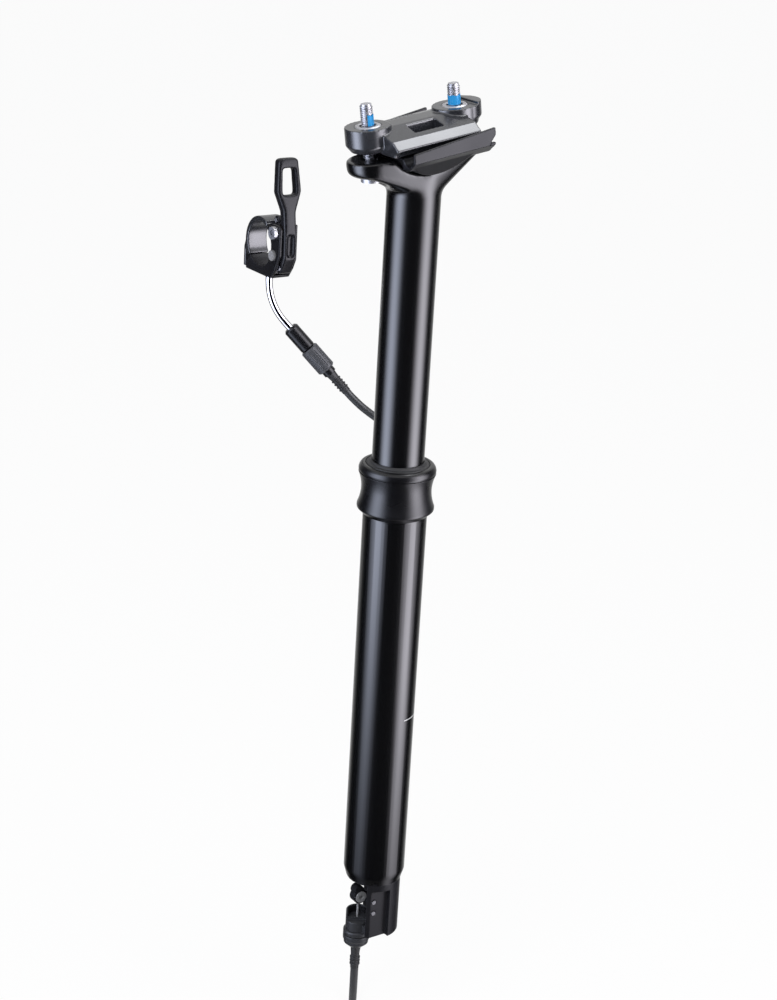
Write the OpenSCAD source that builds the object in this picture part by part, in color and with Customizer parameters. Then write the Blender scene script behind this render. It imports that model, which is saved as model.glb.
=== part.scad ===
// Dropper seatpost: a lower tube that clamps in the frame, a gas-sprung upper tube with its
// two-bolt saddle clamp, the cable release in its foot, and the bar remote on its cable.
// Origin on the axis of the post just under the collar, +Z up the post,
// +X toward the rear of the saddle. Millimetres.

/* [Lower tube and collar] */
// Outer diameter of the lower tube, which fits the seat tube
lower_od = 30.9; // [30.4:0.1:34.9]
// Length of the taper at the lower end
end_taper = 4.8; // [3:0.1:6]
// Height of the collar's main part
collar_h = 24.2; // [22:0.1:28]
// How far the collar stands out past the lower tube
collar_proud = 3.1; // [2.5:0.1:4]
// Depth of the collar's waist
waist_depth = 1.7; // [0.4:0.1:2]
// Length of the lower tube's thread inside the collar
thread_len = 12; // [8:0.5:15]
// Height of the collar ring
ring_h = 4.3; // [4.2:0.1:8]
// How far the wiper seal stands above the collar ring
seal_proud = 1.5; // [0.5:0.1:3]

/* [Upper tube] */
// Outer diameter of the upper tube
upper_od = 25; // [24:0.1:25.4]
// Wall of the upper tube
upper_wall = 2; // [1.6:0.1:2.2]
// Travel of the post
travel = 125; // [75:5:170]
// Length of the upper tube that stays in the lower tube at full height
overlap = 60; // [55:1:80]
// Radial thickness of the bushings
bush_t = 0.9; // [0.8:0.05:1]
// Length of the upper bushing
bush_len = 20; // [10:1:30]
// Diameter of an anti-rotation key
key_d = 2.7; // [2.4:0.1:3]
// Length of an anti-rotation key
key_len = 12; // [8:1:16]

/* [Gas spring] */
// Outer diameter of the gas cylinder
gas_od = 19.2; // [18:0.1:19.6]
// Wall of the gas cylinder
gas_wall = 1; // [0.8:0.1:1.4]
// Diameter of the piston rod
rod_d = 10; // [8:0.5:11]
// Diameter of the valve pin
valve_d = 3; // [2:0.1:3.4]
// Length of the piston
piston_len = 8; // [6:0.5:12]

/* [Saddle clamp] */
// Tilt of the clamp, front end down
clamp_tilt = 9; // [4:1:12]
// Distance between the two bolts
bolt_spacing = 47; // [46:0.5:52]
// Thread core diameter of the clamp bolts
bolt_d = 4.8; // [4.4:0.1:5.2]
// Distance between the saddle rails
rail_spacing = 44; // [43:0.5:46]
// Diameter of the saddle rails
rail_d = 7; // [6.8:0.1:7.2]
// Radius of the cradle's round belly
belly_r = 21.5; // [20.5:0.1:22]
// Length of the cradle's rail troughs
trough_len = 44; // [40:1:50]
// Length of the upper clamp's wings
wing_len = 45; // [40:1:50]
// Radius of the upper clamp's bosses
boss_r = 10.5; // [9:0.1:11]
// Radius of the head's ears
ear_r = 11; // [9.5:0.1:12]
// Thickness of the ears
ear_t = 6; // [5:0.1:8]

/* [Foot] */
// Length of the foot below the lower tube
foot_len = 31; // [30.5:0.5:36]
// Distance of the release cable from the axis of the post
cable_offset = 8.5; // [8.3:0.1:8.8]
// Thickness of the cheek
cheek_t = 1.7; // [1.4:0.1:2]
// Distance of the cheek's inner face from the cable
slot_half = 9.3; // [9:0.1:9.5]
// Diameter of the cable anchor
anchor_d = 6; // [5.6:0.1:6.2]
// Diameter of the inner wire
wire_d = 1.2; // [1.1:0.1:1.4]

/* [Remote] */
// Diameter of the handlebar
bar_d = 22.2; // [22:0.1:22.4]
// Width of the bar clamp
clamp_w = 11; // [10.5:0.1:13]
// Wall of the bar clamp
clamp_wall = 2.5; // [2:0.1:2.7]
// Width of the lever at its neck
lever_w = 7; // [6.4:0.1:7.2]
// Width of the paddle
paddle_w = 13.6; // [12:0.1:18]
// Thickness of the paddle
paddle_t = 5.3; // [4:0.1:6]
// Diameter of the lever's pivot bolt
pivot_d = 4; // [3.6:0.1:4.4]

/* [Noodle and adjuster] */
// Outer diameter of the noodle
noodle_d = 3.6; // [3.2:0.1:4]
// Length of the adjuster's sleeve
sleeve_len = 13.8; // [10:0.1:18]
// Diameter of the adjuster's sleeve
sleeve_d = 7.8; // [7:0.1:8.6]
// Length of the knob
knob_len = 14; // [10:0.5:18]
// Diameter of the knob
knob_d = 9.4; // [8.4:0.1:11]
// Length of the adjuster's ribbed boot
boot_len = 12.5; // [10:0.5:15]

/* [Cable housing] */
// Diameter of the cable housing
cord_d = 4; // [4:0.5:5]

/* [Hidden] */
$fn = 96;
far = 200;

// Clearances
fit_gap = 0.05;
free_gap = 0.3;
seat_gap = 0.02;

// Colours
black = [0.05, 0.05, 0.06];
satin = [0.12, 0.12, 0.13];
grey = [0.3, 0.31, 0.33];
silver = [0.75, 0.76, 0.78];
brass = [0.75, 0.6, 0.3];
rubber = [0.08, 0.08, 0.08];

// Post: radii, and levels from the foot up
lower_r = lower_od / 2;
upper_r = upper_od / 2;
bore_r = upper_r + bush_t;
upper_bore_r = upper_r - upper_wall;
foot_spigot = 6;
end_room = 2;
lower_len = overlap + travel + foot_spigot + end_room;
foot_z = -lower_len;
foot_r = lower_r - 1.65;
taper_r = lower_r - 1.35;
thread_r = lower_r - 0.35;
collar_base = 3.4;
collar_r = lower_r + collar_proud;
ring_z = collar_h + seat_gap;
seal_floor = 2;
seal_wall = 3.15;
seal_r = collar_r - seal_wall;
seal_z = ring_z + seal_floor + seat_gap;
seal_top = collar_h + ring_h + seal_proud;
park_gap = 4;
neck_z = travel + seal_top + park_gap;

// A profile point ring z, outer radius first, drawn as a solid of revolution
module turned(points) {
    rotate_extrude() polygon(points);
}

module pipe(r_out, r_in, z0, z1) {
    translate([0, 0, z0]) difference() {
        cylinder(r = r_out, h = z1 - z0);
        translate([0, 0, -1]) cylinder(r = r_in, h = z1 - z0 + 2);
    }
}

module pin(r, z0, z1) {
    translate([0, 0, z0]) cylinder(r = r, h = z1 - z0);
}

// A pin along Y or X, from one value to the other
module pin_y(r, y0, y1) {
    rotate([-90, 0, 0]) pin(r, y0, y1);
}

module pin_x(r, x0, x1) {
    rotate([0, 90, 0]) pin(r, x0, x1);
}

// Lower tube, with three grooves for the keys
key_r = key_d / 2;
key_at = upper_r + 0.5;
key_count = 3;
key_z = -overlap + 16;
groove_stop = 20;

module at_keys() {
    for (i = [0 : key_count - 1]) rotate(i * 360 / key_count) translate([key_at, 0, 0]) children();
}

module lower_tube() {
    color(black) difference() {
        turned([[bore_r, foot_z], [taper_r, foot_z], [lower_r, foot_z + end_taper],
                [lower_r, collar_base], [thread_r, collar_base], [thread_r, thread_len], [bore_r, thread_len]]);
        at_keys() pin(key_r + free_gap, foot_z - 1, -groove_stop);
    }
}

// Collar: a cone under a waisted barrel, and its top ring
collar_foot_h = 0.8;
collar_foot_r = lower_r + 0.9;
belly_low = 6.2;
collar_low = 7.6;
waist_steps = 10;

function waist(i) = let(t = 2 * i / waist_steps - 1)
    [collar_r - waist_depth * (1 - t * t), collar_low + (collar_h - collar_low) * i / waist_steps];

module collar() {
    nut_in = thread_r + fit_gap;
    neck_in = upper_r + 0.6;
    color(satin) turned(concat(
        [[nut_in, collar_base], [lower_r + 0.1, collar_base], [collar_foot_r, collar_base + collar_foot_h],
         [collar_r, belly_low]],
        [for (i = [0 : waist_steps]) waist(i)],
        [[neck_in, collar_h], [neck_in, thread_len + fit_gap], [nut_in, thread_len + fit_gap]]));
}

module collar_ring() {
    top = collar_h + ring_h;
    color(satin) turned([
        [upper_r + bush_t, ring_z], [collar_r - 0.3, ring_z], [collar_r, ring_z + 1.2],
        [collar_r, top - 2.6], [collar_r - 0.35, top - 1.4], [collar_r - 1.1, top - 0.4],
        [collar_r - 2, top], [seal_r + seat_gap, top], [seal_r + seat_gap, ring_z + seal_floor],
        [upper_r + bush_t, ring_z + seal_floor]]);
}

module wiper_seal() {
    lip_r = upper_r + fit_gap;
    color(rubber) turned([
        [lip_r, seal_z], [seal_r, seal_z], [seal_r, seal_top - 2], [seal_r - 0.5, seal_top - 1.3],
        [lip_r + 1.1, seal_top - 1], [lip_r + 0.6, seal_top - 0.2], [lip_r + 0.3, seal_top],
        [lip_r, seal_top]]);
}

module upper_bushing() {
    color(brass) pipe(bore_r - seat_gap, upper_r + fit_gap, thread_len - bush_len, thread_len);
}

// Saddle clamp: everything in it is placed from the axis it tilts about
clamp_x = -3.5;
clamp_z = neck_z + 32;
bolt_half = bolt_spacing / 2;
bolt_r = bolt_d / 2;
rail_half = rail_spacing / 2;
rail_r = rail_d / 2;
rail_z = -10.2;
split = 1;
seat_r = belly_r + free_gap;
nut_t = 3;
nut_top = 2.5;
nut_r = 6;
boss_top = 2.2;
boss_low = -8.8;
ear_top = -12.6;
ear_low = ear_top - ear_t;
washer_t = 0.8;
head_r = 5;
head_h = 3.4;
bolt_top = 12;
bolt_hole_r = bolt_r + 0.7;
clamp_hole_r = bolt_r + 1.9;

module in_clamp() {
    translate([clamp_x, 0, clamp_z]) rotate([0, -clamp_tilt, 0]) children();
}

module at_bolts() {
    for (s = [-1, 1]) translate([s * bolt_half, 0, 0]) children();
}

module at_rails() {
    for (s = [-1, 1]) translate([0, s * rail_half, rail_z]) children();
}

// A solid along X with the given section in Y and Z
module along_x(length) {
    rotate([90, 0, 90]) linear_extrude(height = length, center = true) children();
}

// Upper tube, drawn in one with the forged head
neck_h = 11;
neck_r = upper_r + 2;
head_room = 12;
plug_h = 9;

module ear(s) {
    translate([s * bolt_half, 0, ear_low]) cylinder(r = ear_r, h = ear_t, $fn = 48);
}

module neck_block() {
    translate([0, 0, neck_z + 1.5]) cylinder(r = upper_r + 0.6, h = 2, $fn = 48);
    translate([0, 0, neck_z + neck_h]) cylinder(r = neck_r, h = 6, $fn = 48);
}

module upper_tube() {
    bottom = -overlap;
    color(black) difference() {
        union() {
            turned([[0, bottom], [upper_r, bottom], [upper_r, neck_z - 2],
                    [upper_r + 0.25, neck_z + 1], [upper_r + 0.8, neck_z + 4],
                    [upper_r + 1.5, neck_z + 8], [neck_r, neck_z + neck_h], [0, neck_z + neck_h]]);
            for (s = [-1, 1]) hull() {
                in_clamp() ear(s);
                neck_block();
            }
        }
        pin(upper_bore_r, bottom - 1, neck_z - plug_h);
        at_keys() pin(key_r + seat_gap, key_z, key_z + key_len);
        in_clamp() {
            pin_y(seat_r, -far, far);
            translate([-far, -far, ear_top]) cube([2 * far, 2 * far, far]);
            at_bolts() pin(bolt_hole_r, ear_low - head_room, ear_top + 1);
            at_bolts() pin(head_r + 1.2, ear_low - head_room, ear_low);
        }
    }
}

module lower_bushing() {
    z0 = -overlap + 1;
    color(brass) pipe(bore_r - fit_gap, upper_r + seat_gap, z0, z0 + 12);
}

module anti_rotation_keys() {
    color(brass) at_keys() pin(key_r, key_z + seat_gap, key_z + key_len - seat_gap);
}

// Gas spring: the cylinder rides in the upper tube, the rod stands on the foot
gas_r = gas_od / 2;
gas_bore_r = gas_r - gas_wall;
rod_r = rod_d / 2;
valve_r = valve_d / 2;
cap_h = 10;
gas_low = -overlap + cap_h;
gas_high = neck_z - plug_h - 4;
piston_z = gas_low + 2;
rod_seat = 4;

module gas_cylinder() {
    color(silver) pipe(gas_r, gas_bore_r, gas_low, gas_high);
}

module cylinder_cap() {
    color(grey) pipe(upper_bore_r - seat_gap, rod_r + fit_gap, -overlap, gas_low);
}

module cylinder_plug() {
    color(grey) pin(upper_bore_r - seat_gap, gas_high, neck_z - plug_h);
}

module piston_rod() {
    color(silver) difference() {
        pin(rod_r, foot_z - rod_seat, piston_z + piston_len);
        pin(valve_r + fit_gap, foot_z - rod_seat - 1, foot_z + 60);
    }
}

ring_groove = 1.2;
ring_w = 2;

module piston() {
    mid = piston_z + piston_len / 2;
    color(grey) difference() {
        pipe(gas_bore_r - fit_gap, rod_r, piston_z, piston_z + piston_len);
        pipe(gas_r, gas_bore_r - ring_groove, mid - ring_w / 2, mid + ring_w / 2);
    }
}

module piston_ring() {
    mid = piston_z + piston_len / 2;
    color(rubber) pipe(gas_bore_r - fit_gap, gas_bore_r - ring_groove + seat_gap,
        mid - ring_w / 2 + seat_gap, mid + ring_w / 2 - seat_gap);
}

// Saddle cradle: a boat-shaped belly that rocks in the head, and two rail troughs with an outer lip
belly_half = 17.5;
belly_drop = 22;
trough_in = 5;
trough_front = -18;
lip_cut = 4;
trough_wall = 2.1;
lip_t = 1.4;
lip_front = -7.4;
lip_back = -4;
lip_h = 3.4;
lip_in = rail_half + rail_r + 0.6;
lip_out = lip_in + lip_t;
trough_side = -11.8;
web_half = 18;
cradle_top = rail_z - split / 2;

module saddle_cradle() {
    floor_z = rail_z - rail_r - trough_wall;
    trough_back = trough_front + trough_len;
    boat = [[lip_in, cradle_top], [lip_in, trough_side], [belly_half, -belly_drop]];
    trough = [[rail_half - trough_in, cradle_top], [rail_half - trough_in, floor_z], [rail_half, floor_z],
              [lip_out - 0.3, trough_side], [lip_out - 0.3, cradle_top]];
    lip = [[trough_front, lip_front], [trough_back, lip_back], [trough_back, lip_back - lip_h],
           [trough_back - lip_cut, trough_side], [trough_front, trough_side]];
    color(grey) in_clamp() difference() {
        union() {
            intersection() {
                pin_y(belly_r, -lip_out, lip_out);
                translate([-web_half, -far, -far]) cube([2 * web_half, 2 * far, far + cradle_top]);
                along_x(2 * web_half) polygon(mirrored(boat));
            }
            translate([trough_front + trough_len / 2, 0, 0]) along_x(trough_len)
                for (s = [0, 1]) mirror([s, 0]) polygon(trough);
            for (s = [0, 1]) mirror([0, s, 0]) translate([0, lip_out, 0]) rotate([90, 0, 0])
                linear_extrude(height = lip_t) polygon(lip);
        }
        at_rails() pin_x(rail_r, -far, far);
        at_bolts() pin(boss_r + split, boss_low - 1.2, far);
    }
}

// Upper rail clamp: a beam between two bosses, and a sloped deck with a window between beam and wing
wing_low = rail_z + split / 2;
wing_edge = rail_half - 0.5;
wing_edge_z = -6;
wing_ridge = 17.4;
wing_top = -2.6;
beam_half = 4.6;
beam_top = 0.8;
window_l = 15.5;
window_in = 6.4;
window_out = 14;
lobe_back = 2.4;
lobe_r = boss_r - 0.4;
lobe_up = 1.2;
lobe_from = 4.5;
boss_cut = 2.2;
boss_cut_h = 3;
lobe_cut = 3.4;
lobe_cut_h = 4.6;

// A half section in +Y, closed by its mirror image
function mirrored(half) = concat(half, [for (i = [len(half) - 1 : -1 : 0]) [-half[i][0], half[i][1]]]);

module upper_clamp() {
    section = [[wing_edge, wing_low], [wing_edge, wing_edge_z], [wing_ridge, wing_top], [beam_half, beam_top]];
    color(grey) in_clamp() difference() {
        union() {
            along_x(wing_len) polygon(mirrored(section));
            at_bolts() turned([[0, boss_low], [boss_r - boss_cut, boss_low], [boss_r, boss_low + boss_cut_h],
                               [boss_r, boss_top], [0, boss_top]]);
            translate([bolt_half + lobe_back, 0, 0]) {
                turned([[0, boss_low + 1], [lobe_r - lobe_cut, boss_low + 1], [lobe_r, boss_low + 1 + lobe_cut_h],
                        [lobe_r, boss_top], [0, boss_top]]);
                intersection() {
                    pin(lobe_r, boss_top - 1, boss_top + lobe_up);
                    translate([lobe_from, -far / 2, 0]) cube([far, far, far]);
                }
            }
        }
        at_rails() pin_x(rail_r, -far, far);
        for (s = [0, 1]) mirror([0, s, 0]) translate([-window_l / 2, window_in, -far / 2])
            cube([window_l, window_out - window_in, far]);
        at_bolts() pin(clamp_hole_r, -far, far);
        at_bolts() pin(nut_r + fit_gap, nut_top - nut_t, far);
    }
}

module clamp_nuts() {
    color(silver) in_clamp() at_bolts() difference() {
        pin(nut_r, nut_top - nut_t, nut_top);
        pin(bolt_hole_r, -far, far);
    }
}

// Socket of the clamp bolts, for a 5 mm key
hex_d = 5.8;
hex_deep = 2.4;

module clamp_bolts() {
    head_top = ear_low - washer_t;
    color(silver) in_clamp() at_bolts() difference() {
        union() {
            pin(bolt_r, head_top, bolt_top);
            pin(head_r, head_top - head_h, head_top);
        }
        translate([0, 0, head_top - head_h - 1]) cylinder(d = hex_d, h = hex_deep + 1, $fn = 6);
    }
}

module bolt_washers() {
    color(silver) in_clamp() at_bolts() pipe(head_r + 0.6, bolt_r + seat_gap, ear_low - washer_t, ear_low);
}

// Foot: a plug with a back wall and one cheek, where the release sits open to the front
ceiling_z = foot_z - 6;
foot_low = foot_z - foot_len;
cheek_out = slot_half + cheek_t;
flat_end = 1.3;
front_wall = 1.2;
rim_t = 0.8;
slot_back = 3.5;
flat_top = foot_z - 4;
anchor_r = anchor_d / 2;
wire_r = wire_d / 2;

// Release lever: the cable pulls the front arm down and the back arm lifts the valve pin
front_arm = 6.3;
back_arm = 2.2;
rest_angle = 18.2;
lever_half = 2.2;
pivot_x = -cable_offset + front_arm * cos(rest_angle);
anchor_z = foot_z - 11;
pivot_z = anchor_z - front_arm * sin(rest_angle);
release_pin_r = 0.8;
release_hub_r = 1.4;
nose_r = 1.2;
eye_r = anchor_r + 0.9;
pin_depth = 1;
crown_x = 0.9;
crown_z = 3.7;
crown_r = 2.7;
nose_x = pivot_x + back_arm * cos(rest_angle);
nose_z = pivot_z - back_arm * sin(rest_angle);
lift_rise = 2 * back_arm * sin(rest_angle);
lift_gap = lift_rise + 0.12;
valve_low = nose_z + nose_r + lift_gap;
fork_half = wire_r + 0.4;
fork_reach = 3.2;

module foot_body() {
    color(satin) difference() {
        union() {
            pin(foot_r, foot_low, foot_z);
            pin(bore_r - fit_gap, foot_z - 1, foot_z + foot_spigot);
        }
        translate([-far, -slot_half, foot_low - 1])
            cube([far + slot_back, far, ceiling_z - foot_low + 1]);
        translate([-far, -slot_half, foot_low - 1])
            cube([far - rod_r - front_wall, far, foot_z - rim_t - foot_low + 1]);
        translate([-far, -cheek_out - far, foot_low - 1]) cube([far + flat_end, far, flat_top - foot_low + 1]);
        pin(rod_r + seat_gap, foot_z - rod_seat - seat_gap, foot_z + far);
        pin(valve_r + fit_gap, ceiling_z - 1, foot_z);
        translate([pivot_x, 0, pivot_z]) pin_y(release_pin_r, -slot_half - pin_depth, 0);
        at_rivets() pin_y(rivet_r, -far, -slot_half + 1);
    }
}

module release_lever() {
    up = [-sin(rest_angle), cos(rest_angle)];
    w = nose_r;
    color(satin) difference() {
        union() {
            translate([-cable_offset, 0, anchor_z]) pin_y(eye_r, -lever_half, lever_half);
            translate([-cable_offset - crown_x, 0, anchor_z + crown_z]) pin_y(crown_r, -lever_half, lever_half);
            translate([nose_x, 0, nose_z]) pin_y(nose_r, -lever_half, lever_half);
            translate([pivot_x, 0, pivot_z]) pin_y(release_hub_r, -slot_half + fit_gap, lever_half);
            rotate([90, 0, 0]) linear_extrude(height = 2 * lever_half, center = true) polygon([
                [-cable_offset + w * sin(rest_angle), anchor_z + w * cos(rest_angle)],
                [nose_x + w * sin(rest_angle), nose_z + w * cos(rest_angle)],
                [nose_x - w * sin(rest_angle), nose_z - w * cos(rest_angle)],
                [-cable_offset - w * sin(rest_angle), anchor_z - w * cos(rest_angle)]]);
        }
        translate([-cable_offset, 0, anchor_z]) pin_y(anchor_r + fit_gap, -far, far);
        translate([-cable_offset - fork_reach, -fork_half, anchor_z - far]) cube([2 * fork_reach, 2 * fork_half, far]);
        translate([pivot_x, 0, pivot_z]) pin_y(release_pin_r + fit_gap, -far, far);
    }
}

module release_pivot_pin() {
    color(silver) translate([pivot_x, 0, pivot_z]) {
        pin_y(release_pin_r, -slot_half - pin_depth + seat_gap, lever_half + fit_gap);
        pin_y(release_hub_r, lever_half + fit_gap, lever_half + 0.8);
    }
}

module valve_pin() {
    color(silver) pin(valve_r, valve_low, foot_z + 45);
}

// Cable anchor: a barrel across the lever's eye, a grub screw in its end and the wire
anchor_half = 2.8;
grub_r = 1.6;
grub_len = anchor_half - wire_r - seat_gap;
wire_low = foot_z - 45;

module at_cable() {
    translate([-cable_offset, 0, 0]) children();
}

module cable_anchor() {
    color(silver) at_cable() difference() {
        translate([0, 0, anchor_z]) pin_y(anchor_r, -anchor_half, anchor_half);
        translate([0, 0, anchor_z]) pin_y(grub_r + seat_gap, -far, -anchor_half + grub_len);
        pin(wire_r + seat_gap, anchor_z - far, anchor_z + 1.5);
    }
}

module anchor_screw() {
    color(silver) at_cable() translate([0, 0, anchor_z]) difference() {
        pin_y(grub_r, -anchor_half + 0.2, -anchor_half + grub_len);
        rotate([90, 0, 0]) translate([0, 0, anchor_half - 1.4]) cylinder(d = 2.3, h = 9, $fn = 6);
    }
}

module inner_wire_lower() {
    color(silver) at_cable() pin(wire_r, wire_low, anchor_z + 1.5 - seat_gap);
}

// Cable stop: a cup on a plate, with one tab riveted to the cheek
cup_r = 5.85;
cup_wall = 0.95;
cup_top = foot_z - 19.5;
cup_floor = foot_z - 23.4;
notch_z = foot_z - 24.6;
notch_from = 1.5;
notch_turn = 55;
stop_low = foot_z - 30;
tab_in = 7.7;
tab_x0 = -9;
tab_x1 = -4.6;
tab_top = foot_z - 7.6;
plate_top = stop_low + 4;
rivet_r = 1.1;
rivet_x = -6.4;
rivet_up = foot_z - 10.3;
rivet_down = foot_z - 16.6;
wire_bore_r = wire_r + 0.45;
hatch_w = 3.2;
hatch_low = cup_floor + 0.9;

module at_rivets() {
    for (z = [rivet_up, rivet_down]) translate([rivet_x, 0, z]) children();
}

module cable_stop() {
    tab_out = slot_half - seat_gap;
    color(grey) difference() {
        union() {
            at_cable() pin(cup_r, stop_low, cup_top);
            translate([tab_x0, -tab_out, stop_low]) cube([tab_x1 - tab_x0, tab_out, plate_top - stop_low]);
            translate([tab_x0, -tab_out, stop_low]) cube([tab_x1 - tab_x0, tab_out - tab_in, tab_top - stop_low]);
        }
        at_cable() {
            pin(cup_r - cup_wall, cup_floor, cup_top + 1);
            pin(wire_bore_r, stop_low - 1, cup_top);
            rotate(notch_turn) translate([-far, -cup_r, notch_z]) cube([far - notch_from, 2 * cup_r, far]);
            for (a = [-32, 32]) rotate(notch_turn + a) translate([0, -hatch_w / 2, hatch_low])
                cube([cup_r + 1, hatch_w, cup_top - 1 - hatch_low]);
        }
        at_rivets() pin_y(rivet_r, -far, -tab_in + 1);
    }
}

module stop_rivets() {
    color(silver) at_rivets() pin_y(rivet_r - seat_gap, -cheek_out - 0.4, -tab_in);
}

// Ferrule: a flanged conical nut under the cable stop, and a ribbed boot on the housing's end
flange_r = lower_r - cable_offset - 0.1;
flange_t = 5.6;
nut_body_r = flange_r - 0.5;
nut_body_h = 2.2;
nut_low = stop_low - 10.6;
boot_r = 2.65;
boot_rib = 0.45;
boot_ribs = 3;
boot_socket = 3;
ferrule_boot_len = 16;
ferrule_low = nut_low - ferrule_boot_len + boot_socket;

module ferrule_nut() {
    color(grey) at_cable() difference() {
        turned([[0, stop_low], [flange_r, stop_low - 0.5], [flange_r, stop_low - flange_t],
                [nut_body_r, stop_low - flange_t - 0.5], [nut_body_r, stop_low - flange_t - nut_body_h],
                [boot_r + 0.7, nut_low], [0, nut_low]]);
        pin(wire_bore_r, nut_low - 1, stop_low + 1);
        pin(boot_r + seat_gap, nut_low - 1, nut_low + boot_socket);
    }
}

// A boot along +Z from 0, ribbed toward its end
module ribbed_boot(length, ribs) {
    pitch = 1.9;
    turned(concat(
        [[wire_bore_r, 0], [boot_r, 0]],
        [for (i = [0 : ribs - 1], p = [[0, 0], [boot_rib, 0.3], [boot_rib, 0.8], [0, 1.1]])
            [boot_r - boot_rib + p[0], length - 1 - (ribs - i) * pitch + p[1]]],
        [[boot_r - boot_rib, length], [wire_bore_r, length]]));
}

module ferrule_boot() {
    color(rubber) at_cable() translate([0, 0, nut_low + boot_socket]) mirror([0, 0, 1])
        ribbed_boot(ferrule_boot_len, boot_ribs);
}

// Remote: everything in it is placed from the centre of the bar, Y and Z across the bar
back_turn = 35;
bar_r = bar_d / 2;
ring_r = bar_r + clamp_wall;
remote_at = [-13.96, 102.63, 113.35];
pivot_at = [-bar_r - 3.9, 8.5];
lever_hub_r = 4;
lever_gap = 0.25;
lever_half_w = lever_w / 2;
slot_ring_r = ring_r - 0.6;
stop_at = [-bar_r - 2.5, -3];
stop_r = 1.3;
strap_hinge = [-8.3, bar_r + 1.9];
hinge_r = 1.1;
knuckle_r = 2.4;
strap_from = -38;
strap_to = 122;
strap_gap = 3;
base_low = -15.2;
base_end = bar_r + 1.5;
strap_foot_t = 1.8;
strap_screw_z = -13.2;
strap_screw_r = 1.5;

module in_remote() {
    translate(remote_at) children();
}

module at_yz(p) {
    translate([0, p[0], p[1]]) children();
}

function wedge(a0, a1) = concat([[0, 0]], [for (i = [0 : 6]) let(a = a0 + (a1 - a0) * i / 6) far * [cos(a), sin(a)]]);

// The hinge of the strap: bracket knuckle in the middle, strap knuckle on the +X side
knuckle_split = 1.6;
knuckle_start = -1;

module bar_strap() {
    foot_y0 = base_end + 0.4;
    foot_y1 = foot_y0 + strap_foot_t;
    color(satin) in_remote() difference() {
        union() {
            along_x(clamp_w) {
                intersection() {
                    difference() {
                        circle(r = ring_r);
                        circle(r = bar_r);
                    }
                    polygon(wedge(strap_from, strap_to));
                }
                polygon([[foot_y0, base_low + 1], [foot_y1, base_low + 1], [foot_y1, -4],
                         [ring_r - 0.4, 0], [bar_r + 0.3, -2.5], [foot_y0, -5.5]]);
            }
            at_yz(strap_hinge) pin_x(knuckle_r, knuckle_split, clamp_w / 2);
        }
        at_yz(strap_hinge) pin_x(knuckle_r + free_gap, -clamp_w, knuckle_split - free_gap / 2);
        at_yz(strap_hinge) pin_x(hinge_r + fit_gap, -far, far);
        at_yz([0, strap_screw_z]) pin_y(strap_screw_r + 0.1, 0, far);
        pin_x(bar_r, -far, far);
    }
}

module remote_bracket() {
    outline = [[-6, 8], [-12, 12.3], [-18, 12.3], [-19.3, 10.5], [-19.3, -2.5], [-15.5, -10], [-11.5, base_low],
               [base_end, base_low], [base_end, -11.3], [6, -8]];
    color(satin) in_remote() difference() {
        union() {
            along_x(clamp_w) difference() {
                union() {
                    circle(r = ring_r);
                    polygon(outline);
                }
                circle(r = bar_r);
                polygon(wedge(strap_from - strap_gap, strap_to + strap_gap));
            }
            at_yz(strap_hinge) pin_x(knuckle_r, knuckle_start, knuckle_split - free_gap);
        }
        along_x(lever_w + 2 * lever_gap) difference() {
            polygon([[-far, slot_floor], [-11, slot_floor], [-11, far], [-far, far]]);
            circle(r = slot_ring_r);
        }
        translate([0, -far, slot_floor]) cube([far, far + far_cheek_y, far]);
        at_yz(strap_hinge) pin_x(knuckle_r + free_gap, knuckle_split - free_gap / 2, far);
        at_yz(strap_hinge) pin_x(knuckle_r + free_gap, -far, knuckle_start);
        at_yz(strap_hinge) pin_x(hinge_r, -far, far);
        at_yz(pivot_at) pin_x(pivot_d / 2 + fit_gap, -far, far);
        at_yz(stop_at) pin_x(stop_r, -far, far);
        at_yz([0, strap_screw_z]) pin_y(strap_screw_r, 1.5, far);
        translate([noodle_x, noodle_y, 0]) pin(noodle_r + 0.1, -far, noodle_top);
        wire_guide();
    }
}

module strap_hinge_pin() {
    color(silver) in_remote() at_yz(strap_hinge) pin_x(hinge_r - seat_gap, knuckle_start - 0.4, clamp_w / 2);
}

module strap_screw() {
    head_y = base_end + 0.4 + strap_foot_t;
    color(silver) in_remote() at_yz([0, strap_screw_z]) difference() {
        union() {
            pin_y(strap_screw_r - seat_gap, 2, head_y);
            pin_y(2.4, head_y, head_y + 2.2);
        }
        rotate([-90, 0, 0]) translate([0, 0, head_y + 1]) cylinder(d = 2.9, h = 9, $fn = 6);
    }
}

// Remote lever: neck and tail in side view, paddle in front view
lever_front = pivot_at[0] - 6.3;
lever_back = pivot_at[0] - 1.3;
tail_back = stop_at[0] - stop_r - free_gap;
tail_low = -12.2;
tail_step = 2.2;
far_cheek_y = pivot_at[0] - 3;
slot_floor = tail_low - 1.4;
nipple_at = [pivot_at[0] - 0.5, -9];
nipple_r = 1.7;
bush_r = pivot_d / 2 + 0.9;
paddle_low = 19;
paddle_wide = 28.5;
paddle_top = 44.8;
paddle_lean = 7.4;
lean_z = 5;
oblong_w = 3.7;
oblong_low = -1.2;
oblong_high = 6.4;
noodle_x = -2.2;
noodle_y = -5.4;
noodle_drop = 2.3;
noodle_top = base_low + 2.5;
guide_r = nipple_at[1] - noodle_top + 0.3;

// Rounded channel that turns the wire from the lever down into the noodle
module wire_guide() {
    translate([noodle_x, noodle_y - guide_r, noodle_top - 0.3])
        rotate([90, 0, 90]) rotate_extrude(angle = 90) translate([guide_r, 0]) circle(r = 0.95, $fn = 32);
    translate([noodle_x, 0, noodle_top - 0.3 + guide_r]) pin_y(0.95, -far, noodle_y - guide_r + 0.01);
}

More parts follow.
